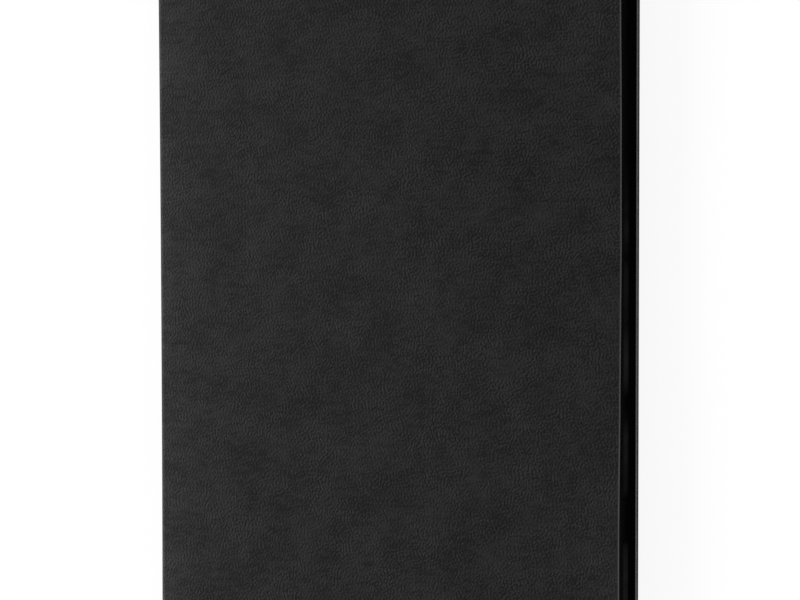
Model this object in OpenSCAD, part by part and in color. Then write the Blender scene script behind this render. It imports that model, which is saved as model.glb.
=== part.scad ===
// Soft-covered planner, closed and lying on its back cover.
// X runs from the spine to the fore-edge, Y to the head and Z to the front cover. Millimetres.

/* [Pages] */
// Width of a page, from the fold to the fore-edge
page_w = 145; // [90:1:220]
// Height of a page
page_h = 210; // [120:1:300]
// Number of folded sections, half of them on each side of the opening
section_count = 12; // [8:2:18]
// Thickness of one folded section
section_t = 0.98; // [0.8:0.02:1.6]
// Air between the two halves where the book opens
opening_gap = 0.24; // [0.1:0.02:0.6]
// Thickness of a flyleaf
flyleaf_t = 0.2; // [0.1:0.05:0.4]
// Radius of the pages' outer corners
page_corner_r = 4; // [1:0.5:12]

/* [Cover] */
// Thickness of the leather
leather_t = 1.2; // [0.8:0.1:2.5]
// Thickness of the card that stiffens each cover
card_t = 0.4; // [0.2:0.05:2]
// Thickness of the endpaper glued inside each cover
pastedown_t = 0.2; // [0.1:0.05:0.4]
// Reach of the cover past the pages at the head, tail and fore-edge
overhang = 2.2; // [1:0.1:6]
// Inside radius of the leather where it turns round the spine
fold_inner_r = 0.8; // [0.3:0.1:2.5]
// Bare leather between the turned corner and the card
joint_w = 2; // [1:0.5:8]

/* [Spine] */
// Thickness of the card strip in the spine
strip_t = 0.5; // [0.3:0.1:1.5]
// Bare leather between the turned corner and the strip
strip_clear = 0.5; // [0.2:0.1:1.5]
// Thickness of the cloth that lines the spine
mull_t = 0.3; // [0.2:0.05:0.5]
// Hollow between the cloth and the folds of the sections
fold_gap = 0.8; // [0.5:0.05:1.5]

/* [Headbands] */
// Diameter of the woven bead
bead_d = 1.6; // [1:0.1:2]
// Height of the tape that carries the bead, down the spine
tape_h = 10; // [5:0.5:20]
// Strip left bare between the tape and the cloth
tape_gap = 2; // [1:0.5:6]
// Air between the bead and the strip, and between the bead and the pages
bead_clear = 0.1; // [0.05:0.05:0.3]

/* [Sewing] */
// Diameter of the thread inside a fold
thread_d = 0.4; // [0.3:0.05:0.5]
// Diameter of the doubled thread of a link
link_d = 0.5; // [0.4:0.05:0.7]
// Air round the thread in its channel and its kerfs
thread_clear = 0.05; // [0.02:0.01:0.08]
// Length of a kerf along the fold
kerf_w = 1.2; // [0.9:0.1:3]
// Number of sewing stations along a fold
station_count = 6; // [3:1:9]
// Distance of the outer stations from the head and tail of the pages
station_end = 20; // [15:1:40]

/* [Hidden] */
$fn = 64;
half_count = section_count / 2;

// Stack of layers, from the back cover up
cover_t = leather_t + card_t + pastedown_t;
block_t = section_count * section_t + opening_gap + 2 * flyleaf_t;
total_t = block_t + 2 * cover_t;

// Depth from the outside of the spine to the folds, and the outline of the whole book
spine_depth = leather_t + strip_t + mull_t + fold_gap;
total_w = spine_depth + page_w + overhang;
total_h = page_h + 2 * overhang;
spine_x = -total_w / 2;
fold_x = spine_x + spine_depth;
page_end_x = fold_x + page_w;
cover_end_x = page_end_x + overhang;
cover_corner_r = page_corner_r + overhang;

// Turned corners of the leather, each cut on its diagonal where the cover folds
fold_outer_r = fold_inner_r + leather_t;
fold_cut = 45;
turn_x = spine_x + fold_outer_r;
card_x = turn_x + joint_w;

// Strip, cloth and bands on the inside of the spine
strip_x = spine_x + leather_t;
strip_z = fold_outer_r + strip_clear;
strip_w = total_t - 2 * strip_z;
lining_x = strip_x + strip_t;
mull_h = page_h - 2 * (tape_h + tape_gap);
bead_x = lining_x + bead_clear + bead_d / 2;
bead_y = page_h / 2 + bead_clear + bead_d / 2;

// Sewing, along the middle of each fold
thread_x = fold_x + section_t / 2;
channel_d = thread_d + 2 * thread_clear;
kerf_end = link_d / 2 + thread_clear;
run_length = page_h - 2 * station_end;
station_pitch = run_length / (station_count - 1);

// Sections are numbered from the front cover
function two_digits(i) = i < 10 ? str("0", i) : str(i);
function section_name(i) = str("section_", two_digits(i));
function thread_name(i) = str("thread_", two_digits(i));
function section_z(i) = i <= half_count
    ? total_t - cover_t - flyleaf_t - i * section_t
    : cover_t + flyleaf_t + (section_count - i) * section_t;

// Outline drawn in X and Z, carried along the height of the book
module along_height(height) {
    rotate([90, 0, 0])
        translate([0, 0, -height / 2])
            linear_extrude(height)
                children();
}

// Flat sheet from x_start to x_end with its two fore-edge corners rounded
module sheet(x_start, x_end, height, corner_r, z, thickness) {
    translate([0, 0, z])
        linear_extrude(thickness) {
            translate([x_start, -height / 2])
                square([x_end - corner_r - x_start, height]);
            translate([x_start, corner_r - height / 2])
                square([x_end - x_start, height - 2 * corner_r]);
            for (side = [-1, 1])
                translate([x_end - corner_r, side * (height / 2 - corner_r)])
                    circle(corner_r);
        }
}

module cover_sheet(x_start, z, thickness) {
    sheet(x_start, cover_end_x, total_h, cover_corner_r, z, thickness);
}

// Half of a turned corner of the leather, from one flat face to the cut on the diagonal
module turned_corner(z, start_angle) {
    reach = 2 * fold_outer_r;
    end_angle = start_angle + fold_cut;
    along_height(total_h)
        translate([turn_x, z])
            intersection() {
                difference() {
                    circle(fold_outer_r);
                    circle(fold_inner_r);
                }
                polygon([
                    [0, 0],
                    reach * [cos(start_angle), sin(start_angle)],
                    reach * [cos(end_angle), sin(end_angle)]
                ]);
            }
}

module front_leather() {
    color("#1d1d1f") {
        cover_sheet(turn_x, total_t - leather_t, leather_t);
        turned_corner(total_t - fold_outer_r, 90);
    }
}

module back_leather() {
    color("#1d1d1f") {
        cover_sheet(turn_x, 0, leather_t);
        turned_corner(fold_outer_r, 270 - fold_cut);
    }
}

module spine_leather() {
    color("#222224") {
        turned_corner(total_t - fold_outer_r, 180 - fold_cut);
        turned_corner(fold_outer_r, 180);
        translate([spine_x, -total_h / 2, fold_outer_r])
            cube([leather_t, total_h, total_t - 2 * fold_outer_r]);
    }
}

module front_card() {
    color("dimgray")
        cover_sheet(card_x, total_t - leather_t - card_t, card_t);
}

module back_card() {
    color("dimgray")
        cover_sheet(card_x, leather_t, card_t);
}

module front_pastedown() {
    color("#2a2a2c")
        cover_sheet(card_x, total_t - cover_t, pastedown_t);
}

module back_pastedown() {
    color("#2a2a2c")
        cover_sheet(card_x, cover_t - pastedown_t, pastedown_t);
}

module front_flyleaf() {
    color("#2a2a2c")
        sheet(fold_x, page_end_x, page_h, page_corner_r, total_t - cover_t - flyleaf_t, flyleaf_t);
}

module back_flyleaf() {
    color("#2a2a2c")
        sheet(fold_x, page_end_x, page_h, page_corner_r, cover_t, flyleaf_t);
}

module spine_strip() {
    color("gray")
        translate([strip_x, -total_h / 2, strip_z])
            cube([strip_t, total_h, strip_w]);
}

module spine_mull() {
    color("ivory")
        translate([lining_x, -mull_h / 2, strip_z])
            cube([mull_t, mull_h, strip_w]);
}

// Woven bead past the end of the folds, on a tape that goes down inside the spine
module band() {
    translate([lining_x, page_h / 2 - tape_h, strip_z])
        cube([mull_t, bead_y + tape_h - page_h / 2, strip_w]);
    translate([bead_x, bead_y, strip_z])
        cylinder(d = bead_d, h = strip_w);
}

module head_band() {
    color("#333333")
        band();
}

module tail_band() {
    color("#333333")
        mirror([0, 1, 0])
            band();
}

module at_stations() {
    for (k = [0:station_count - 1])
        translate([thread_x, k * station_pitch - run_length / 2, 0])
            children();
}

// Eight leaves folded together: a slab with a round fold, a thread channel and a kerf at each station
module section(i) {
    color("#151515")
        translate([0, 0, section_z(i)])
            difference() {
                union() {
                    sheet(thread_x, page_end_x, page_h, page_corner_r, 0, section_t);
                    along_height(page_h)
                        translate([thread_x, section_t / 2])
                            circle(d = section_t);
                }
                along_height(run_length)
                    translate([thread_x, section_t / 2])
                        circle(d = channel_d);
                at_stations()
                    translate([-section_t, -kerf_w / 2, -section_t])
                        cube([section_t + kerf_end, kerf_w, 3 * section_t]);
            }
}

// One thread: a straight run inside the fold, and a link across the fold in each kerf
module thread(i) {
    color("whitesmoke")
        translate([0, 0, section_z(i)]) {
            along_height(run_length)
                translate([thread_x, section_t / 2])
                    circle(d = thread_d);
            at_stations()
                cylinder(d = link_d, h = section_t);
        }
}

front_leather();
front_card();
front_pastedown();
front_flyleaf();
back_leather();
back_card();
back_pastedown();
back_flyleaf();
spine_leather();
spine_strip();
spine_mull();
head_band();
tail_band();
for (i = [1:section_count]) {
    section(i);
    thread(i);
}
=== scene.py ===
import math
import random

import bmesh
import bpy
from mathutils import Matrix, Vector


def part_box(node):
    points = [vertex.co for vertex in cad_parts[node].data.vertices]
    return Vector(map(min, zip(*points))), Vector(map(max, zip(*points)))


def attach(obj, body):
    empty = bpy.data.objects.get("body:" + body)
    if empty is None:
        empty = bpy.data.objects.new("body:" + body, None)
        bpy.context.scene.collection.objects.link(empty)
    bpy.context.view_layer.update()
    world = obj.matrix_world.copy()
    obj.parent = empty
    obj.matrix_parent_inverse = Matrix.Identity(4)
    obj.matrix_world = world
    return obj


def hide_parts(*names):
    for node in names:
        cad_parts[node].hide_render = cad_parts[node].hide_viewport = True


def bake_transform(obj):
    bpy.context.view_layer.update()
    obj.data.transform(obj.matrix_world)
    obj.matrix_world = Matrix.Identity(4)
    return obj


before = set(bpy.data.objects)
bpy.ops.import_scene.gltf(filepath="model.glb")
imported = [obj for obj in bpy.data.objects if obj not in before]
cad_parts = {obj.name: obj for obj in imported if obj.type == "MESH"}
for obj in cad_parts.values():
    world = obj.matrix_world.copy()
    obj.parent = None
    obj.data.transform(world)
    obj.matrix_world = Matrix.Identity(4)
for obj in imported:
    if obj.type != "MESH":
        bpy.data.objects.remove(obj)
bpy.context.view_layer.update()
print("frame loaded,", len(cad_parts), "CAD nodes")

mm = 0.001
slack = 0.01 * mm  # a corner this close to a line counts as on it
random.seed(7)

# sizes of the closed book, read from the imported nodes
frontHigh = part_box("front_leather")[1]
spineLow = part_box("spine_leather")[0]
cardLow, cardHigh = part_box("front_card")
liningLow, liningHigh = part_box("front_pastedown")
blockLow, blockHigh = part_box("section_01")
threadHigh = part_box("thread_01")[1]

bookTop = frontHigh.z
midZ = bookTop / 2
spineX = spineLow.x
edgeX = frontHigh.x
coverHalf = frontHigh.y
leatherThick = bookTop - cardHigh.z
cardThick = cardHigh.z - cardLow.z
liningThick = liningHigh.z - liningLow.z
foldRadius = spineLow.z / (1 - math.cos(math.radians(45)))  # the spine node ends half way round the fold
turnX = spineX + foldRadius
cardX = cardLow.x
pageEndX = blockHigh.x
pageHalf = blockHigh.y
sectionThick = blockHigh.z - blockLow.z
foldX = blockLow.x + sectionThick / 2  # middle of the folded edge
sectionNames = sorted(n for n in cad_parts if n.startswith("section_"))
sectionCount = len(sectionNames)


# camera: the closed book from above, turned so that the fore-edge shows
shot = {
    "distance": 0.9, "aim": Vector((2.509 * mm, 0, 8 * mm)),
    "yaw": 23.966, "pitch": 3.539, "roll": -0.117,  # degrees
    "lens": 135.42, "sensor": 36,  # mm
}
yaw, pitch, roll = (math.radians(shot[k]) for k in ("yaw", "pitch", "roll"))
towardsCamera = Vector((
    math.sin(yaw) * math.cos(pitch), math.sin(pitch), math.cos(yaw) * math.cos(pitch)))
right = Vector((0, 1, 0)).cross(towardsCamera).normalized()
upward = towardsCamera.cross(right)
turned = Matrix((right, upward, towardsCamera)).transposed() @ Matrix.Rotation(roll, 3, "Z")
bpy.ops.object.camera_add()
camera = bpy.context.object
camera.name = "camera"
camera.matrix_world = Matrix.Translation(shot["aim"] + towardsCamera * shot["distance"]) @ turned.to_4x4()
camera.data.lens = shot["lens"]
camera.data.sensor_width = shot["sensor"]
bpy.context.scene.camera = camera
bpy.context.scene.view_settings.view_transform = "Standard"
print("camera set")


# materials
def linear(hexCode):
    channels = [int(hexCode[i:i + 2], 16) / 255 for i in (1, 3, 5)]
    return [c / 12.92 if c <= 0.04045 else ((c + 0.055) / 1.055) ** 2.4 for c in channels] + [1.0]


def addNode(tree, kind, inputs=None, **settings):
    node = tree.nodes.new("ShaderNode" + kind)
    for key, value in settings.items():
        setattr(node, key, value)
    for socket, value in (inputs or {}).items():
        if isinstance(value, bpy.types.NodeSocket):
            tree.links.new(value, node.inputs[socket])
        else:
            node.inputs[socket].default_value = value
    return node


def startMaterial(name):
    material = bpy.data.materials.new(name)
    material.use_nodes = True
    material.node_tree.nodes.clear()
    return material, material.node_tree


def endMaterial(tree, inputs):
    shader = addNode(tree, "BsdfPrincipled", inputs)
    addNode(tree, "OutputMaterial", {"Surface": shader.outputs["BSDF"]})


# Bonded leather, pressed with a fine grain and finished satin:
# low soft sheen, small close ridges and pits, faint clouds and streaks; the darker pits are grain colour
# and painted shade, the streaks painted shade of fine creases
leatherLook = {
    "grain": 1.06 * mm, "cycles": 1.6,  # ridge to ridge, and how many ridges lie side by side
    "lean": -26, "lined": 0.27,  # degrees that the ridges lean, and how far they keep to it
    "layerShift": 0.5,  # metres between two layers of ridges, so that they have nothing in common
    "turnSize": 2.5 * mm, "wander": 0.35 * mm,  # the ridges wind about
    "patch": 11 * mm, "patchRange": (0.3, 0.7), "softness": (0.64, 0.21),  # some patches are pressed deeper
    "cloud": 12 * mm, "cloudStretch": 1.25, "cloudTurn": 30, "cloudWeight": 1.27,
    "streak": 1.5 * mm, "streakStretch": 2.3,
    # the colour in the pits is partly the grain's own and partly painted shade
    "ridgeWeight": 0.94, "toneRange": (1.23, 2.04), "pitShade": "#020202", "ridge": "#1e1e1e",
    "mottleRange": (0.91, 1.36), "rough": (0.5, 0.4),
    "bump": 0.048 * mm,
}


def bondedLeather():
    look = leatherLook
    material, tree = startMaterial("bonded_leather")
    place = addNode(tree, "UVMap", uv_map="unrolled").outputs["UV"]
    drift = addNode(tree, "TexNoise", {"Vector": place, "Scale": 1 / look["turnSize"], "Detail": 0})
    bent = addNode(tree, "VectorMath", {0: drift.outputs["Color"], 1: [look["wander"]] * 3, 2: place},
                   operation="MULTIPLY_ADD")
    # two layers of ridges cross, so that they break up into small dots
    layers = []
    for shift in (0, look["layerShift"]):
        moved = addNode(tree, "VectorMath", {0: bent.outputs[0], 1: [shift] * 3}, operation="ADD")
        layer = addNode(tree, "TexGabor", {
            "Vector": moved.outputs[0], "Scale": 1 / (look["cycles"] * look["grain"]),
            "Frequency": look["cycles"], "Anisotropy": look["lined"],
            "Orientation": math.radians(look["lean"])})
        layers.append(layer.outputs["Value"])
    grain = addNode(tree, "Math", {0: layers[0], 1: layers[1]}, operation="ADD")
    patch = addNode(tree, "TexNoise", {
        "Vector": place, "Scale": 1 / look["patch"], "Detail": 3, "Roughness": 0.6})
    soft = addNode(tree, "MapRange", {
        "Value": patch.outputs["Fac"], "From Min": look["patchRange"][0], "From Max": look["patchRange"][1],
        "To Min": look["softness"][0], "To Max": look["softness"][1]})
    ridgeFoot = addNode(tree, "Math", {0: 1, 1: soft.outputs[0]}, operation="SUBTRACT")
    ridgeTop = addNode(tree, "Math", {0: 1, 1: soft.outputs[0]}, operation="ADD")
    ridge = addNode(tree, "MapRange", {
        "Value": grain.outputs[0], "From Min": ridgeFoot.outputs[0], "From Max": ridgeTop.outputs[0]},
        interpolation_type="SMOOTHSTEP")
    bump = addNode(tree, "Bump", {"Height": ridge.outputs[0], "Strength": 1.0, "Distance": look["bump"]})
    # clouds lean and streaks run across the cover; the streaks are painted shade of fine creases
    slanted = addNode(tree, "Mapping", {
        "Vector": place, "Scale": (look["cloudStretch"], 1, 1),
        "Rotation": (0, 0, math.radians(look["cloudTurn"]))}, vector_type="TEXTURE")
    cloud = addNode(tree, "TexNoise", {
        "Vector": slanted.outputs[0], "Scale": 1 / look["cloud"], "Detail": 3, "Roughness": 0.65})
    drawnOut = addNode(tree, "Mapping", {"Vector": place, "Scale": (1 / look["streakStretch"], 1, 1)})
    streak = addNode(tree, "TexNoise", {
        "Vector": drawnOut.outputs[0], "Scale": 1 / look["streak"], "Detail": 1})
    mottle = addNode(tree, "Math", {
        0: cloud.outputs["Fac"], 1: look["cloudWeight"], 2: streak.outputs["Fac"]},
        operation="MULTIPLY_ADD")
    shade = addNode(tree, "Math", {
        0: ridge.outputs[0], 1: look["ridgeWeight"], 2: mottle.outputs[0]}, operation="MULTIPLY_ADD")
    tone = addNode(tree, "MapRange", {
        "Value": shade.outputs[0], "From Min": look["toneRange"][0], "From Max": look["toneRange"][1]})
    # painted shade: pits and crease streaks make the colour darker, as shade in the grain would
    colour = addNode(tree, "Mix", {0: tone.outputs[0], 6: linear(look["pitShade"]), 7: linear(look["ridge"])},
                     data_type="RGBA")
    rough = addNode(tree, "MapRange", {
        "Value": mottle.outputs[0], "From Min": look["mottleRange"][0], "From Max": look["mottleRange"][1],
        "To Min": look["rough"][0], "To Max": look["rough"][1]})
    endMaterial(tree, {
        "Base Color": colour.outputs[2], "Roughness": rough.outputs[0], "Specular IOR Level": 0.14,
        "IOR": 1.46, "Sheen Weight": 0.06, "Sheen Roughness": 0.3, "Normal": bump.outputs[0]})
    return material


# Knife-cut edge of bonded leather: matt pressed fibre, greyer than the grain side, dark skin on top
cutLook = {
    "fibre": 0.5 * mm, "tuftRange": (0.35, 0.65), "core": "#3c3c3b", "pale": "#6e6d6c",
    "skin": "#161616", "skinRange": (0.5, 0.95),  # the skin gives way between these shares of the depth
    "bump": 0.08 * mm,
}


def cutLeather():
    look = cutLook
    material, tree = startMaterial("cut_leather_edge")
    place = addNode(tree, "UVMap", uv_map="unrolled").outputs["UV"]
    depth = addNode(tree, "Attribute", attribute_name="depth").outputs["Fac"]
    spot = addNode(tree, "CombineXYZ", {2: depth})
    lifted = addNode(tree, "VectorMath", {0: spot.outputs[0], 1: [leatherThick] * 3, 2: place},
                     operation="MULTIPLY_ADD")
    fibres = addNode(tree, "TexNoise", {
        "Vector": lifted.outputs[0], "Scale": 1 / look["fibre"], "Detail": 4, "Roughness": 0.65})
    tuft = addNode(tree, "MapRange", {
        "Value": fibres.outputs["Fac"], "From Min": look["tuftRange"][0], "From Max": look["tuftRange"][1]})
    core = addNode(tree, "Mix", {0: tuft.outputs[0], 6: linear(look["core"]), 7: linear(look["pale"])},
                   data_type="RGBA")
    inside = addNode(tree, "MapRange", {
        "Value": depth, "From Min": look["skinRange"][0], "From Max": look["skinRange"][1]})
    colour = addNode(tree, "Mix", {0: inside.outputs[0], 6: linear(look["skin"]), 7: core.outputs[2]},
                     data_type="RGBA")
    bump = addNode(tree, "Bump", {
        "Height": fibres.outputs["Fac"], "Strength": 0.6, "Distance": look["bump"]})
    endMaterial(tree, {"Base Color": colour.outputs[2], "Roughness": 0.85, "Specular IOR Level": 0.25,
                       "Normal": bump.outputs[0]})
    return material


# Uncoated paper dyed black right through: quite matt, faint fibre mottle, its colours set darker than such
# paper is, as painted shade inside the covers' overhang
endpaperLook = {"fibre": 0.5 * mm, "deep": "#020202", "faint": "#060606", "bump": 0.02 * mm}


def blackPaperAndShade():
    look = endpaperLook
    material, tree = startMaterial("black_paper_and_painted_shade")
    place = addNode(tree, "TexCoord").outputs["Object"]
    fibres = addNode(tree, "TexNoise", {
        "Vector": place, "Scale": 1 / look["fibre"], "Detail": 5, "Roughness": 0.7})
    # painted shade: near-black colours, darker than black paper, for the deep shade inside the covers
    colour = addNode(tree, "Mix", {
        0: fibres.outputs["Fac"], 6: linear(look["deep"]), 7: linear(look["faint"])}, data_type="RGBA")
    bump = addNode(tree, "Bump", {
        "Height": fibres.outputs["Fac"], "Strength": 0.4, "Distance": look["bump"]})
    endMaterial(tree, {"Base Color": colour.outputs[2], "Roughness": 0.9, "Specular IOR Level": 0.02,
                       "Normal": bump.outputs[0]})
    return material


# Grey recycled board: pressed pulp with flecks, matt
boardLook = {
    "pulp": 0.8 * mm, "dark": "#40403f", "light": "#575655",
    "fleckPitch": 2.5 * mm, "fleckRange": (0.06, 0.14), "fleck": "#1e1e1d",
    "bump": 0.04 * mm,
}


def greyBoard():
    look = boardLook
    material, tree = startMaterial("grey_board")
    place = addNode(tree, "TexCoord").outputs["Object"]
    pulp = addNode(tree, "TexNoise", {
        "Vector": place, "Scale": 1 / look["pulp"], "Detail": 5, "Roughness": 0.7})
    spots = addNode(tree, "TexVoronoi", {"Vector": place, "Scale": 1 / look["fleckPitch"]})
    clear = addNode(tree, "MapRange", {
        "Value": spots.outputs["Distance"],
        "From Min": look["fleckRange"][0], "From Max": look["fleckRange"][1]})
    plain = addNode(tree, "Mix", {
        0: pulp.outputs["Fac"], 6: linear(look["dark"]), 7: linear(look["light"])}, data_type="RGBA")
    colour = addNode(tree, "Mix", {0: clear.outputs[0], 6: linear(look["fleck"]), 7: plain.outputs[2]},
                     data_type="RGBA")
    bump = addNode(tree, "Bump", {
        "Height": pulp.outputs["Fac"], "Strength": 0.5, "Distance": look["bump"]})
    endMaterial(tree, {"Base Color": colour.outputs[2], "Roughness": 0.92, "Specular IOR Level": 0.2,
                       "Normal": bump.outputs[0]})
    return material


leather = bondedLeather()
leatherEdge = cutLeather()
endpaper = blackPaperAndShade()
board = greyBoard()
print("cover materials made")


# modelling helpers
def chooseOnly(piece):
    bpy.ops.object.select_all(action="DESELECT")
    piece.select_set(True)
    bpy.context.view_layer.objects.active = piece


def startEdit(piece):
    chooseOnly(piece)
    bpy.ops.object.mode_set(mode="EDIT")


def endEdit():
    bpy.ops.object.mode_set(mode="OBJECT")


def pick(piece, kind, test):
    # selects the verts, edges or faces that have all their corners where the test says
    bpy.ops.mesh.select_mode(type={"verts": "VERT", "edges": "EDGE", "faces": "FACE"}[kind])
    bpy.ops.mesh.select_all(action="DESELECT")
    shape = bmesh.from_edit_mesh(piece.data)
    for part in getattr(shape, kind):
        corners = [part] if kind == "verts" else part.verts
        part.select_set(all(test(v.co) for v in corners))
    shape.select_flush_mode()
    bmesh.update_edit_mesh(piece.data)


def pickSharp(degrees=60):
    bpy.ops.mesh.select_mode(type="EDGE")
    bpy.ops.mesh.select_all(action="DESELECT")
    bpy.ops.mesh.edges_select_sharp(sharpness=math.radians(degrees))


def cut(place, normal, away=False):
    # cuts the whole mesh on a plane, and with away drops what lies past it
    bpy.ops.mesh.select_all(action="SELECT")
    bpy.ops.mesh.bisect(plane_co=place, plane_no=normal, clear_outer=away)


def roundCorners(endX, halfY, radius, steps):
    # trims the two fore-edge corners with planes that touch the corner's circle
    for side in (1, -1):
        for k in range(steps):
            angle = math.radians((k + 0.5) * 90 / steps)
            normal = Vector((math.cos(angle), side * math.sin(angle), 0))
            centre = Vector((endX - radius, side * (halfY - radius), 0))
            cut(centre + radius * normal, normal, away=True)


def modify(piece, kind, **settings):
    chooseOnly(piece)
    modifier = piece.modifiers.new(kind.lower(), kind)
    for key, value in settings.items():
        setattr(modifier, key, value)
    bpy.ops.object.modifier_apply(modifier=modifier.name)


def applyPlace():
    bpy.ops.object.transform_apply(location=True, rotation=True, scale=True)


def copyOf(piece, name):
    chooseOnly(piece)
    bpy.ops.object.duplicate()
    twin = bpy.context.object
    twin.name = name
    return twin


def addGrid(name, lowX, highX, halfY, z, columns, rows):
    bpy.ops.object.select_all(action="DESELECT")
    bpy.ops.mesh.primitive_grid_add(x_subdivisions=columns, y_subdivisions=rows, size=1,
                                    location=((lowX + highX) / 2, 0, z))
    piece = bpy.context.object
    piece.name = name
    piece.scale = (highX - lowX, 2 * halfY, 1)
    applyPlace()
    return piece


def joinAll(pieces):
    chooseOnly(pieces[0])
    for piece in pieces[1:]:
        piece.select_set(True)
    bpy.ops.object.join()
    return bpy.context.object


def writeUv(piece, name, place):
    while piece.data.uv_layers:
        piece.data.uv_layers.remove(piece.data.uv_layers[0])
    layer = piece.data.uv_layers.new(name=name)
    for loop in piece.data.loops:
        layer.data[loop.index].uv = place(piece.data.vertices[loop.vertex_index].co)


def softEdges(piece, degrees=40):
    chooseOnly(piece)
    bpy.ops.object.shade_smooth_by_angle(angle=math.radians(degrees))


def dress(piece, *materials):
    piece.data.materials.clear()
    for material in materials:
        piece.data.materials.append(material)


def smoothStep(t):
    t = min(max(t, 0), 1)
    return t * t * (3 - 2 * t)


# leather cover: one sheet in two halves that meet in the middle of the spine
cover = {
    "cell": 3 * mm,
    "cornerRadius": 6.2 * mm, "cornerSteps": 8,
    "foldSteps": 10, "spineSteps": 5,
    "jointCuts": (0.4, 0.8, 1.2, 1.6, 2.0, 2.5),  # mm past the turn, where the cover bends as it opens
    "bendFrom": 0.5 * mm,  # how far down the spine the bend starts
    "edgeRound": 0.14 * mm, "edgeSteps": 2,
    "crown": 1.1 * mm, "crownAt": 95 * mm,  # swell over the pages, and where it is fullest
    "roll": 6 * mm, "ramp": 25 * mm, "rollShare": 0.44,  # it rises quickly beside the turn, then slowly
    "snugAt": 28 * mm, "snugReach": 65 * mm, "looseEnds": 0.6,  # height where the fore-edge lies closest
    "waveSize": 32 * mm, "waveHeight": 0.5 * mm, "waveFrom": 4 * mm, "waveReach": 35 * mm,
    "liftFrom": 45 * mm,  # the ends of the fore-edge spring up
    "tailLift": 1.1 * mm, "tailFrom": 15 * mm, "tailReach": 60 * mm,
    "headLift": 0.5 * mm, "headFrom": 50 * mm, "headReach": 50 * mm,
    "bowTail": 0.35 * mm, "bowHead": 0.2 * mm, "bowReach": 12 * mm,  # the spine stands out towards its ends
    "edgeCuts": (0.4, 0.8, 1.2, 1.7, 2.3),  # mm from the fore-edge, where the back cover curls
    "curlOut": 0.45 * mm, "curlUp": 0.45 * mm, "curlReach": 2.4 * mm,
}


def coverSurface(name, side):
    outerZ = bookTop if side > 0 else 0
    piece = addGrid(name, turnX, edgeX, coverHalf, outerZ,
                    round((edgeX - turnX) / cover["cell"]), round(2 * coverHalf / cover["cell"]))
    startEdit(piece)
    pick(piece, "edges", lambda p: p.x < turnX + slack)
    bpy.ops.mesh.spin(steps=cover["foldSteps"], angle=math.radians(90),
                      center=(turnX, 0, outerZ - side * foldRadius), axis=(0, side, 0))
    drop = (midZ - foldRadius) / cover["spineSteps"]
    for k in range(cover["spineSteps"]):
        bpy.ops.mesh.extrude_region_move(TRANSFORM_OT_translate={"value": (0, 0, -side * drop)})
    for past in cover["jointCuts"]:
        cut((turnX + past * mm, 0, 0), (1, 0, 0))
    roundCorners(edgeX, coverHalf, cover["cornerRadius"], cover["cornerSteps"])
    bpy.ops.mesh.select_all(action="SELECT")
    bpy.ops.mesh.remove_doubles(threshold=slack)
    shape = bmesh.from_edit_mesh(piece.data)
    panel = max(shape.faces, key=lambda f: f.calc_center_median().x)
    if panel.normal.z * side < 0:
        bpy.ops.mesh.flip_normals()
    endEdit()
    return piece


def bowSpine(piece):
    # the spine and its turns stand out a little towards the head and the tail
    for name, sign in (("bowTail", -1), ("bowHead", 1)):
        ends = piece.vertex_groups.new(name=name)
        for v in piece.data.vertices:
            near = 1 - smoothStep((v.co.x - spineX) / cover["bowReach"])
            ends.add([v.index], near * (max(sign * v.co.y, 0) / coverHalf) ** 2, "REPLACE")
        modify(piece, "DISPLACE", direction="X", mid_level=0, strength=-cover[name], vertex_group=name)
    piece.vertex_groups.clear()


def curlEdge(piece):
    # the overhang of the back cover curls up beside the pages
    startEdit(piece)
    for inside in cover["edgeCuts"]:
        cut((edgeX - inside * mm, 0, 0), (1, 0, 0))
    pick(piece, "verts", lambda p: p.x > edgeX - slack)
    bpy.ops.transform.translate(value=(cover["curlOut"], 0, cover["curlUp"]), use_proportional_edit=True,
                                proportional_edit_falloff="SHARP", proportional_size=cover["curlReach"])
    endEdit()


def relaxCover(piece):
    # the free cover swells over the pages, is a little uneven, and springs up at the ends of its fore-edge
    swell, loose, tail, head = (piece.vertex_groups.new(name=n) for n in ("swell", "loose", "tail", "head"))
    for v in piece.data.vertices:
        past = v.co.x - turnX
        fall = (past - cover["crownAt"]) / (edgeX - turnX - cover["crownAt"])
        quick = 1 - math.exp(-max(past, 0) / cover["roll"])
        slow = 1 - math.exp(-max(past, 0) / cover["ramp"])
        rise = cover["rollShare"] * quick + (1 - cover["rollShare"]) * slow
        stays = cover["looseEnds"] * smoothStep(abs(v.co.y - cover["snugAt"]) / cover["snugReach"])
        swell.add([v.index], rise * (1 - smoothStep(fall) * (1 - stays)), "REPLACE")
        loose.add([v.index], smoothStep((past - cover["waveFrom"]) / cover["waveReach"]), "REPLACE")
        outward = max(1 - (edgeX - v.co.x) / cover["liftFrom"], 0) ** 2
        for group, sign in ((tail, -1), (head, 1)):
            along = (sign * v.co.y - cover[group.name + "From"]) / cover[group.name + "Reach"]
            group.add([v.index], outward * smoothStep(along), "REPLACE")
    modify(piece, "DISPLACE", direction="Z", mid_level=0, strength=cover["crown"], vertex_group="swell")
    waves = bpy.data.textures.new("cover_waves", "CLOUDS")
    waves.noise_scale = cover["waveSize"]
    modify(piece, "DISPLACE", texture=waves, texture_coords="LOCAL", direction="Z", mid_level=0.5,
           strength=cover["waveHeight"], vertex_group="loose")
    for name in ("tail", "head"):
        modify(piece, "DISPLACE", direction="Z", mid_level=0, strength=cover[name + "Lift"],
               vertex_group=name)
    piece.vertex_groups.clear()


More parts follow.
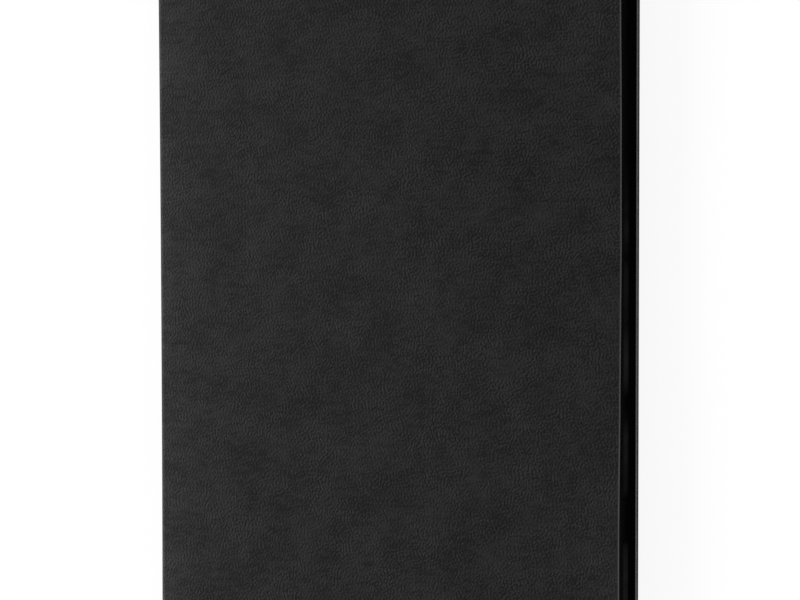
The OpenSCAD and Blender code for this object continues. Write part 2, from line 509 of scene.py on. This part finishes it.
def unroll(side):
    # distance round the cover from the middle of the spine, and height, in metres
    quarter = foldRadius * math.pi / 2

    def place(p):
        fromOuter = (bookTop - p.z) if side > 0 else p.z
        if p.x >= turnX:
            u = p.x - turnX
        elif fromOuter < foldRadius:
            u = -foldRadius * math.atan2(turnX - p.x, foldRadius - fromOuter)
        else:
            u = -quarter - (fromOuter - foldRadius)
        u += quarter + midZ - foldRadius
        return (side * u, p.y)
    return place


def thicken(piece, thick, *materials):
    dress(piece, *materials)
    modify(piece, "SOLIDIFY", thickness=thick, offset=-1, use_even_offset=True,
           material_offset_rim=len(materials) - 1)


def coverLayer(surface, name, depth, thick, *materials):
    # card or lining: the same surface, cut free of the spine and moved in
    piece = copyOf(surface, name)
    startEdit(piece)
    cut((cardX, 0, 0), (-1, 0, 0), away=True)
    bpy.ops.mesh.select_all(action="SELECT")
    bpy.ops.transform.shrink_fatten(value=-depth, use_even_offset=True)
    endEdit()
    thicken(piece, thick, *materials)
    softEdges(piece)
    return piece


def placeKey(v):
    return tuple(round(c, 7) for c in v.co)  # to a ten-thousandth of a millimetre


def roundRims(piece):
    # rounds the cut edges, but not in the middle of the spine, where the two halves meet
    startEdit(piece)
    pickSharp()
    shape = bmesh.from_edit_mesh(piece.data)
    for e in shape.edges:
        if all(abs(v.co.z - midZ) < slack and v.co.x < turnX for v in e.verts):
            e.select_set(False)
    bmesh.update_edit_mesh(piece.data)
    bpy.ops.mesh.bevel(offset=cover["edgeRound"], segments=cover["edgeSteps"], affect="EDGES")
    endEdit()


def makeCover(end, side):
    surface = coverSurface("leather_" + end, side)
    bowSpine(surface)
    if end == "front":
        relaxCover(surface)
    else:
        curlEdge(surface)
    card = coverLayer(surface, "card_" + end, leatherThick, cardThick, board)
    lining = coverLayer(surface, "lining_" + end, leatherThick + cardThick, liningThick, endpaper)
    for piece, slot, node in ((card, "card", "_card"), (lining, "endpaper", "_pastedown")):
        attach(piece, end + "_cover")
        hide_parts(end + node)
    outer = {placeKey(v) for v in surface.data.vertices}
    thicken(surface, leatherThick, leather, leatherEdge)
    depth = surface.data.attributes.new("depth", "FLOAT", "POINT")  # 0 on the grain side, 1 on the inside
    for v in surface.data.vertices:
        depth.data[v.index].value = 0 if placeKey(v) in outer else 1
    roundRims(surface)
    writeUv(surface, "unrolled", unroll(side))
    softEdges(surface)
    modify(surface, "WEIGHTED_NORMAL", keep_sharp=True)  # flat panels stay flat up to their rounded edges
    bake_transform(surface)
    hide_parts(end + "_leather", "spine_leather")
    print(end, "cover made,", len(surface.data.polygons), "faces")


makeCover("front", 1)
makeCover("back", -1)


# pages: twelve sections, each of four sheets folded together
sheets = {
    "perSection": 4, "fill": 0.9,  # share of the pitch that the paper takes
    "cornerRadius": 4 * mm, "cornerSteps": 6, "foldSteps": 8,
    "stations": 6, "linkRadius": 0.25 * mm, "kerf": 1.2 * mm, "kerfDeep": 0.3 * mm,
    "jitter": 0.03 * mm, "middleGap": 0.02 * mm, "gutterReach": 0.45 * mm,
    "wearReach": 2.5,  # sections over which the painted shade of the middle sections gives way to lighter edges
}
lastStation = threadHigh.y - sheets["linkRadius"]
stations = [lastStation * (2 * k / (sheets["stations"] - 1) - 1) for k in range(sheets["stations"])]
sectionMidZ = (blockLow.z + blockHigh.z) / 2
leafPitch = sectionThick / (2 * sheets["perSection"])
pageWide = pageEndX - foldX


# Uncoated book paper, warm white, printed in grey with a plain undated planner page:
# matt, faint fibre mottle, black where the edge stain has crept in
page = {
    "paper": "#e6dfcf", "shade": "#dcd4c3", "fibre": 1.5 * mm, "bump": 0.02 * mm,
    "ink": "#8f8b85", "lineWidth": 0.18 * mm, "linePitch": 7 * mm,
    "gutter": 16 * mm, "outer": 9 * mm, "foot": 10 * mm, "headRule": 88 * mm, "hours": 34 * mm,
    "box": 4.4 * mm, "boxPitch": 6 * mm, "boxRow": 95 * mm, "boxes": 7,
    "stain": "#0d0d0e", "creep": 0.12 * mm,
}


def printedPaper():
    material, tree = startMaterial("printed_book_paper")
    place = addNode(tree, "UVMap", uv_map="page").outputs["UV"]
    spot = addNode(tree, "SeparateXYZ", {0: place})
    across, up = spot.outputs[0], spot.outputs[1]
    thin = page["lineWidth"] / 2
    textWide = pageWide - page["gutter"] - page["outer"]
    textHigh = page["headRule"] + pageHalf - page["foot"]
    textMidX = page["gutter"] + textWide / 2
    textMidY = page["headRule"] - textHigh / 2
    inWide = addNode(tree, "Math", {0: across, 1: textMidX, 2: textWide / 2}, operation="COMPARE")
    inHigh = addNode(tree, "Math", {0: up, 1: textMidY, 2: textHigh / 2}, operation="COMPARE")
    # writing lines, the hour column's line and the head rule
    toLine = addNode(tree, "Math", {0: up, 1: page["linePitch"] / 2}, operation="PINGPONG")
    onLine = addNode(tree, "Math", {0: toLine.outputs[0], 1: thin}, operation="LESS_THAN")
    onHours = addNode(tree, "Math", {0: across, 1: page["hours"], 2: thin}, operation="COMPARE")
    either = addNode(tree, "Math", {0: onLine.outputs[0], 1: onHours.outputs[0]}, operation="MAXIMUM")
    ruled = addNode(tree, "Math", {0: either.outputs[0], 1: inHigh.outputs[0]}, operation="MULTIPLY")
    onHead = addNode(tree, "Math", {0: up, 1: page["headRule"], 2: 2 * thin}, operation="COMPARE")
    lines = addNode(tree, "Math", {0: ruled.outputs[0], 1: onHead.outputs[0]}, operation="MAXIMUM")
    lines = addNode(tree, "Math", {0: lines.outputs[0], 1: inWide.outputs[0]}, operation="MULTIPLY")
    # a row of small empty day boxes above the head rule
    rowHalf = page["boxes"] * page["boxPitch"] / 2
    rowMid = pageWide - page["outer"] - rowHalf
    fromRow = addNode(tree, "Math", {0: across, 1: rowMid}, operation="SUBTRACT")
    toBox = addNode(tree, "Math", {0: fromRow.outputs[0], 1: page["boxPitch"] / 2}, operation="PINGPONG")
    fromLevel = addNode(tree, "Math", {0: up, 1: page["boxRow"]}, operation="SUBTRACT")
    toLevel = addNode(tree, "Math", {0: fromLevel.outputs[0]}, operation="ABSOLUTE")
    square = addNode(tree, "Math", {0: toBox.outputs[0], 1: toLevel.outputs[0]}, operation="MAXIMUM")
    onBox = addNode(tree, "Math", {0: square.outputs[0], 1: page["box"] / 2, 2: thin}, operation="COMPARE")
    inRow = addNode(tree, "Math", {0: across, 1: rowMid, 2: rowHalf}, operation="COMPARE")
    boxes = addNode(tree, "Math", {0: onBox.outputs[0], 1: inRow.outputs[0]}, operation="MULTIPLY")
    ink = addNode(tree, "Math", {0: lines.outputs[0], 1: boxes.outputs[0]}, operation="MAXIMUM")
    # the stain on the cut edges creeps a little way in, round the corners too
    corner = sheets["cornerRadius"]
    height = addNode(tree, "Math", {0: up}, operation="ABSOLUTE")
    reach = addNode(tree, "CombineXYZ", {0: across, 1: height.outputs[0]})
    past = addNode(tree, "VectorMath", {0: reach.outputs[0], 1: (pageWide - corner, pageHalf - corner, 0)},
                   operation="SUBTRACT")
    outside = addNode(tree, "VectorMath", {0: past.outputs[0], 1: (0, 0, 0)}, operation="MAXIMUM")
    outside = addNode(tree, "VectorMath", {0: outside.outputs[0]}, operation="LENGTH")
    stained = addNode(tree, "Math", {0: outside.outputs["Value"], 1: corner - page["creep"]},
                      operation="GREATER_THAN")
    fibres = addNode(tree, "TexNoise", {
        "Vector": place, "Scale": 1 / page["fibre"], "Detail": 5, "Roughness": 0.7})
    bare = addNode(tree, "Mix", {
        0: fibres.outputs["Fac"], 6: linear(page["shade"]), 7: linear(page["paper"])}, data_type="RGBA")
    printed = addNode(tree, "Mix", {0: ink.outputs[0], 6: bare.outputs[2], 7: linear(page["ink"])},
                      data_type="RGBA")
    colour = addNode(tree, "Mix", {0: stained.outputs[0], 6: printed.outputs[2], 7: linear(page["stain"])},
                     data_type="RGBA")
    bump = addNode(tree, "Bump", {
        "Height": fibres.outputs["Fac"], "Strength": 0.3, "Distance": page["bump"]})
    endMaterial(tree, {"Base Color": colour.outputs[2], "Roughness": 0.85, "Specular IOR Level": 0.2,
                       "Normal": bump.outputs[0]})
    return material


# Page edges stained black: quite matt, the ink thinner in random patches and the edges lighter from the
# middle of the height down; the middle sections are kept darker as painted shade under the front cover's
# overhang
edgeInk = {
    "full": "#010101", "thin": "#1f1f1f", "patch": 24 * mm, "patchRange": (0.4, 0.62),
    "thinFrom": 45 * mm, "lighterBelow": 20 * mm,  # heights between which the edges get lighter
}


def stainedEdge():
    look = edgeInk
    material, tree = startMaterial("stained_page_edge")
    place = addNode(tree, "UVMap", uv_map="page").outputs["UV"]
    patches = addNode(tree, "TexNoise", {
        "Vector": place, "Scale": 1 / look["patch"], "Detail": 4, "Roughness": 0.5})
    thin = addNode(tree, "MapRange", {
        "Value": patches.outputs["Fac"],
        "From Min": look["patchRange"][0], "From Max": look["patchRange"][1]})
    up = addNode(tree, "SeparateXYZ", {0: place}).outputs[1]
    below = addNode(tree, "MapRange", {
        "Value": up, "From Min": look["thinFrom"], "From Max": look["lighterBelow"]},
        interpolation_type="SMOOTHSTEP")
    # painted shade: this is 0 on the middle sections, whose edges stay dark as under the front cover's
    # overhang
    clearOfLipShade = addNode(tree, "Attribute", attribute_name="clearOfLipShade").outputs["Fac"]
    lighterShare = addNode(tree, "Math", {0: below.outputs[0], 1: clearOfLipShade}, operation="MULTIPLY")
    bare = addNode(tree, "Math", {0: thin.outputs[0], 1: lighterShare.outputs[0]}, operation="MULTIPLY")
    colour = addNode(tree, "Mix", {0: bare.outputs[0], 6: linear(look["full"]), 7: linear(look["thin"])},
                     data_type="RGBA")
    endMaterial(tree, {"Base Color": colour.outputs[2], "Roughness": 0.7, "Specular IOR Level": 0.01})
    return material


paper = printedPaper()
pageEdge = stainedEdge()
print("page materials made")


def foldedSheet(layer):
    rise = (sheets["perSection"] - 0.5 - layer) * leafPitch  # from the middle of the section to this leaf
    piece = addGrid("sheet", foldX, pageEndX, pageHalf, sectionMidZ + rise, 1, 1)
    startEdit(piece)
    pick(piece, "edges", lambda p: p.x < foldX + slack)
    bpy.ops.mesh.spin(steps=sheets["foldSteps"], angle=math.radians(180), center=(foldX, 0, sectionMidZ),
                      axis=(0, 1, 0))
    bpy.ops.mesh.extrude_region_move(TRANSFORM_OT_translate={"value": (pageWide, 0, 0)})
    roundCorners(pageEndX, pageHalf, sheets["cornerRadius"], sheets["cornerSteps"])
    # a kerf through the fold at each sewing station
    kerfEnd = foldX + sheets["kerfDeep"]
    half = sheets["kerf"] / 2
    cut((kerfEnd, 0, 0), (1, 0, 0))
    for y in stations:
        cut((0, y - half, 0), (0, 1, 0))
        cut((0, y + half, 0), (0, 1, 0))
        pick(piece, "faces", lambda p: p.x < kerfEnd + slack and abs(p.y - y) < half + slack)
        bpy.ops.mesh.delete(type="FACE")
    endEdit()
    return piece


def makeSection():
    section = joinAll([foldedSheet(k) for k in range(sheets["perSection"])])
    dress(section, paper, pageEdge)
    modify(section, "SOLIDIFY", thickness=sheets["fill"] * leafPitch, offset=0, use_even_offset=True,
           material_offset_rim=1)
    writeUv(section, "page", lambda p: (p.x - foldX, p.y))
    softEdges(section)
    return section


def slideSpan(order, near, far):
    # the leaves of a section slide order - 1 steps at its cover side and order steps at its far side,
    # so a smooth step that starts at the place found here has risen by that share at the cover side
    share = (order - 1) / order
    t = 0.5 - math.sin(math.asin(1 - 2 * share) / 3)
    return far - (far - near) / (1 - t)


firstSection = makeSection()
sectionSlides = {}
for number, name in enumerate(sectionNames, 1):
    low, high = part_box(name)
    inFront = number <= sectionCount / 2
    coverBody = "front_cover" if inFront else "back_cover"
    order = number if inFront else sectionCount + 1 - number
    near, far = (high.z, low.z) if inFront else (low.z, high.z)
    begin = slideSpan(order, near, far)
    leaves = copyOf(firstSection, "leaves_%02d" % number)
    startEdit(leaves)
    bpy.ops.mesh.select_all(action="SELECT")
    aside = random.uniform(-1, 1) * sheets["jitter"]
    bpy.ops.transform.translate(value=(aside, 0, (low.z + high.z) / 2 - sectionMidZ))
    drawn = 0
    if order == sectionCount / 2:
        # the two middle sections are a little looser, so that their pages meet, in the gutter too
        drawn = sheets["gutterReach"]
        wider = 1 + drawn / pageWide
        looser = (abs(midZ - near) - sheets["middleGap"] / 2) / sectionThick
        bpy.ops.transform.resize(value=(wider, 1, looser), center_override=(pageEndX, 0, near))
    endEdit()
    # painted shade: the edges of the middle sections are kept darker, as under the front cover's overhang,
    # and get lighter away from the middle of the block
    clearOfLipShade = leaves.data.attributes.new("clearOfLipShade", "FLOAT", "POINT")
    clearOfShade = smoothStep((sectionCount / 2 - order) / sheets["wearReach"])
    for spot in clearOfLipShade.data:
        spot.value = clearOfShade
    sectionSlides[name] = (coverBody, begin, far, drawn)
    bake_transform(leaves)
    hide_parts(name)
bpy.data.objects.remove(firstSection)
print("pages made,", sectionCount, "sections")


# Cotton gauze, stiff with glue: open square weave of round off-white threads
gauze = {
    "pitch": 1.1 * mm, "threadRange": (-0.2, 0.7), "thread": "#b8b1a2", "between": "#6f6a60",
    "bump": 0.1 * mm,
}


def glueGauze():
    look = gauze
    material, tree = startMaterial("glued_cotton_gauze")
    spot = addNode(tree, "SeparateXYZ", {0: addNode(tree, "TexCoord").outputs["Object"]})
    waves = []
    for axis in (1, 2):
        turn = addNode(tree, "Math", {0: spot.outputs[axis], 1: 2 * math.pi / look["pitch"]},
                       operation="MULTIPLY")
        waves.append(addNode(tree, "Math", {0: turn.outputs[0]}, operation="COSINE").outputs[0])
    weave = addNode(tree, "Math", {0: waves[0], 1: waves[1]}, operation="MAXIMUM")
    thread = addNode(tree, "MapRange", {
        "Value": weave.outputs[0], "From Min": look["threadRange"][0], "From Max": look["threadRange"][1]})
    colour = addNode(tree, "Mix", {
        0: thread.outputs[0], 6: linear(look["between"]), 7: linear(look["thread"])}, data_type="RGBA")
    bump = addNode(tree, "Bump", {"Height": thread.outputs[0], "Strength": 0.8, "Distance": look["bump"]})
    endMaterial(tree, {"Base Color": colour.outputs[2], "Roughness": 0.8, "Normal": bump.outputs[0]})
    return material


# Mercerised cotton thread, wound in two blacks: fine twist, silky sheen
wound = {"ring": 0.5 * mm, "black": "#0a0a0b", "grey": "#2b2b2d", "ply": 0.16 * mm, "bump": 0.02 * mm}


def silkyCotton():
    look = wound
    material, tree = startMaterial("mercerised_cotton")
    spot = addNode(tree, "SeparateXYZ", {0: addNode(tree, "TexCoord").outputs["Object"]})
    run = addNode(tree, "Math", {0: spot.outputs[2], 1: look["ring"]}, operation="DIVIDE")
    pair = addNode(tree, "Math", {0: run.outputs[0], 1: 1.0}, operation="PINGPONG")
    colour = addNode(tree, "Mix", {0: pair.outputs[0], 6: linear(look["black"]), 7: linear(look["grey"])},
                     data_type="RGBA")
    slant = addNode(tree, "Math", {0: spot.outputs[2], 1: spot.outputs[0]}, operation="ADD")
    turn = addNode(tree, "Math", {0: slant.outputs[0], 1: 2 * math.pi / look["ply"]}, operation="MULTIPLY")
    twist = addNode(tree, "Math", {0: turn.outputs[0]}, operation="SINE")
    bump = addNode(tree, "Bump", {"Height": twist.outputs[0], "Strength": 0.5, "Distance": look["bump"]})
    endMaterial(tree, {"Base Color": colour.outputs[2], "Roughness": 0.45, "Specular IOR Level": 0.3,
                       "Sheen Weight": 0.15, "Normal": bump.outputs[0]})
    return material


# Waxed linen thread: off-white, close twist, faint shine
linenLook = {
    "ply": 0.5 * mm, "plyRange": (-1, 0.4), "groove": "#a59c89", "crest": "#e4dcc9", "bump": 0.03 * mm,
}


def waxedLinen():
    look = linenLook
    material, tree = startMaterial("waxed_linen_thread")
    spot = addNode(tree, "SeparateXYZ", {0: addNode(tree, "TexCoord").outputs["Object"]})
    slant = addNode(tree, "Math", {0: spot.outputs[1], 1: spot.outputs[2]}, operation="ADD")
    turn = addNode(tree, "Math", {0: slant.outputs[0], 1: 2 * math.pi / look["ply"]}, operation="MULTIPLY")
    twist = addNode(tree, "Math", {0: turn.outputs[0]}, operation="SINE")
    ply = addNode(tree, "MapRange", {
        "Value": twist.outputs[0], "From Min": look["plyRange"][0], "From Max": look["plyRange"][1]})
    colour = addNode(tree, "Mix", {0: ply.outputs[0], 6: linear(look["groove"]), 7: linear(look["crest"])},
                     data_type="RGBA")
    bump = addNode(tree, "Bump", {"Height": ply.outputs[0], "Strength": 0.6, "Distance": look["bump"]})
    endMaterial(tree, {"Base Color": colour.outputs[2], "Roughness": 0.5, "Normal": bump.outputs[0]})
    return material


cotton = silkyCotton()
linen = waxedLinen()

# sewing: each thread copied from its node, the two middle ones moved out along with their looser leaves
sewn = {"weld": 0.001 * mm, "roundUnder": 50}  # corners this close are one, and degrees that look round
for number, name in enumerate(sectionNames, 1):
    node = "thread_%02d" % number
    sewing = bpy.data.objects.new("sewing_%02d" % number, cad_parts[node].data.copy())
    bpy.context.scene.collection.objects.link(sewing)
    startEdit(sewing)
    bpy.ops.mesh.select_all(action="SELECT")
    bpy.ops.mesh.remove_doubles(threshold=sewn["weld"])
    coverBody, begin, far, drawn = sectionSlides[name]
    bpy.ops.transform.translate(value=(-drawn, 0, 0))
    endEdit()
    dress(sewing, linen)
    softEdges(sewing, sewn["roundUnder"])
    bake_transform(sewing)
    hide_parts(node)
print("sewing made")

# bands: thread wound round a core, on a tape that goes down inside the spine
bandShape = {
    "beadRadius": 0.8 * mm, "threadRadius": 0.27 * mm, "ringSteps": 20, "threadSides": 8,
    "coreRadius": 0.55 * mm, "coreRound": 0.16 * mm, "coreRoundSteps": 3,
    "tapeThick": 0.3 * mm, "tapeRound": 0.08 * mm, "tapeRoundSteps": 2,
    "roundUnder": 50,  # degrees that look round
}


def makeBand(name, node):
    low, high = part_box(node)
    atHead = high.y > 0
    bandMid = (low.z + high.z) / 2
    bandWide = high.z - low.z
    beadX = high.x - bandShape["beadRadius"]
    beadY = high.y - bandShape["beadRadius"] if atHead else low.y + bandShape["beadRadius"]
    rings = round(bandWide / wound["ring"])
    firstZ = bandMid - (rings - 1) / 2 * wound["ring"]
    bpy.ops.object.select_all(action="DESELECT")
    bpy.ops.mesh.primitive_torus_add(
        major_radius=bandShape["beadRadius"] - bandShape["threadRadius"],
        minor_radius=bandShape["threadRadius"],
        major_segments=bandShape["ringSteps"], minor_segments=bandShape["threadSides"],
        location=(beadX, beadY, firstZ))
    bead = bpy.context.object
    applyPlace()
    modify(bead, "ARRAY", count=rings, use_relative_offset=False, use_constant_offset=True,
           constant_offset_displace=(0, 0, wound["ring"]))
    bpy.ops.object.select_all(action="DESELECT")
    bpy.ops.mesh.primitive_cylinder_add(vertices=bandShape["ringSteps"], radius=bandShape["coreRadius"],
                                        depth=bandWide, location=(beadX, beadY, bandMid))
    core = bpy.context.object
    applyPlace()
    startEdit(core)
    pickSharp()
    bpy.ops.mesh.bevel(offset=bandShape["coreRound"], segments=bandShape["coreRoundSteps"], affect="EDGES")
    endEdit()
    # tape from the bead down into the spine
    inner = low.y if atHead else high.y
    bpy.ops.object.select_all(action="DESELECT")
    bpy.ops.mesh.primitive_cube_add(
        size=1, location=(low.x + bandShape["tapeThick"] / 2, (inner + beadY) / 2, bandMid))
    tape = bpy.context.object
    tape.scale = (bandShape["tapeThick"], abs(beadY - inner), bandWide)
    applyPlace()
    startEdit(tape)
    bpy.ops.mesh.select_all(action="SELECT")
    bpy.ops.mesh.bevel(offset=bandShape["tapeRound"], segments=bandShape["tapeRoundSteps"], affect="EDGES")
    endEdit()
    band = joinAll([bead, core, tape])
    band.name = name
    dress(band, cotton)
    writeUv(band, "plain", lambda p: (p.y, p.z))
    softEdges(band, bandShape["roundUnder"])
    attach(band, "spine")
    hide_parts(node)


makeBand("band_head", "head_band")
makeBand("band_tail", "tail_band")
print("bands made")

# CAD nodes that keep their shape
for name, material in (("front_flyleaf", endpaper), ("back_flyleaf", endpaper), ("spine_strip", board),
                       ("spine_mull", glueGauze())):
    dress(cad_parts[name], material)

# floor and light
studio = {
    "floor": "#cfcfce", "floorSize": 8.0, "floorDrop": 0.05 * mm,
    "floorGlow": 0.86,  # share of the floor's look that is plain white to the camera
    "sky": 0.62,
    "left": {"place": (-1.5, -0.05, 1.3), "wide": 1.8, "high": 0.8, "power": 20.1},
    "right": {"place": (1.4, -0.6, 0.9), "wide": 1.0, "high": 1.0, "power": 10},
    "card": {"place": (-1.2, 0, 0.25), "wide": 1.5, "high": 0.4, "power": 9},  # low card beside the spine
}
white = (1, 1, 1, 1)
bpy.ops.object.select_all(action="DESELECT")
bpy.ops.mesh.primitive_plane_add(size=studio["floorSize"], location=(0, 0, -studio["floorDrop"]))
floor = bpy.context.object
floor.name = "floor"
applyPlace()
# pale painted floor, mostly white to the camera, so that the shadow stays light
paleFloor, tree = startMaterial("pale_floor")
path = addNode(tree, "LightPath")
seen = addNode(tree, "Math", {0: path.outputs["Is Camera Ray"], 1: path.outputs["Is Glossy Ray"]},
               operation="MAXIMUM")
seen = addNode(tree, "Math", {0: seen.outputs[0], 1: path.outputs["Is Transmission Ray"]},
               operation="MAXIMUM")
tint = addNode(tree, "Mix", {0: seen.outputs[0], 6: linear(studio["floor"]), 7: white}, data_type="RGBA")
paint = addNode(tree, "BsdfDiffuse", {"Color": tint.outputs[2]})
glow = addNode(tree, "Emission", {"Color": white, "Strength": 1})
share = addNode(tree, "Math", {0: seen.outputs[0], 1: studio["floorGlow"]}, operation="MULTIPLY")
mixed = addNode(tree, "MixShader", {0: share.outputs[0], 1: paint.outputs[0], 2: glow.outputs[0]})
addNode(tree, "OutputMaterial", {"Surface": mixed.outputs[0]})
dress(floor, paleFloor)

world = bpy.data.worlds.new("soft_sky")
bpy.context.scene.world = world
world.use_nodes = True
sky = world.node_tree.nodes["Background"]
sky.inputs["Color"].default_value = white
sky.inputs["Strength"].default_value = studio["sky"]
for name in ("left", "right", "card"):
    lamp = studio[name]
    bpy.ops.object.light_add(type="AREA", location=lamp["place"])
    light = bpy.context.object
    light.name = "softbox_" + name
    light.data.shape = "RECTANGLE"
    light.data.size, light.data.size_y = lamp["wide"], lamp["high"]
    light.data.energy = lamp["power"]
    light.rotation_euler = (-Vector(lamp["place"])).to_track_quat("-Z", "Y").to_euler()
print("studio lit")
